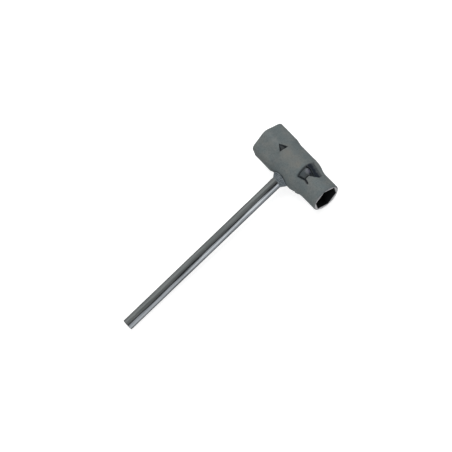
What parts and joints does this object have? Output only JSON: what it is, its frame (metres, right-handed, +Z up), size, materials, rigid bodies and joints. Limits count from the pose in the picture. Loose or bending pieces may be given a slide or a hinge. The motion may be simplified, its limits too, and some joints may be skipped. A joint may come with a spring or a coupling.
{
  "type": "fire hydrant wrench",
  "caption": "T-shaped hydrant wrench: a tubular head with a large and a small hexagonal socket, and a long round bar welded across it for leverage.",
  "frame": {"origin": "centre of the large socket's mouth, on the socket axis in the plane of the large end face", "axes": "+Y out of the large socket along the socket axis, -Y out of the small socket; -X along the handle bar towards its free end; +Z up with the wrench lying on its side"},
  "size_m": [0.3767, 0.135, 0.064],
  "materials": {
    "head_steel": "matte grey blasted and coated steel with bright ground end faces",
    "plated_bar": "bright plated drawn bar",
    "weld_metal": "rippled weld, bluish grey"
  },
  "bodies": {
    "root": {"socket_head": "head_steel", "handle_bar": "plated_bar", "weld_bead": "weld_metal"}
  },
  "joints": []
}
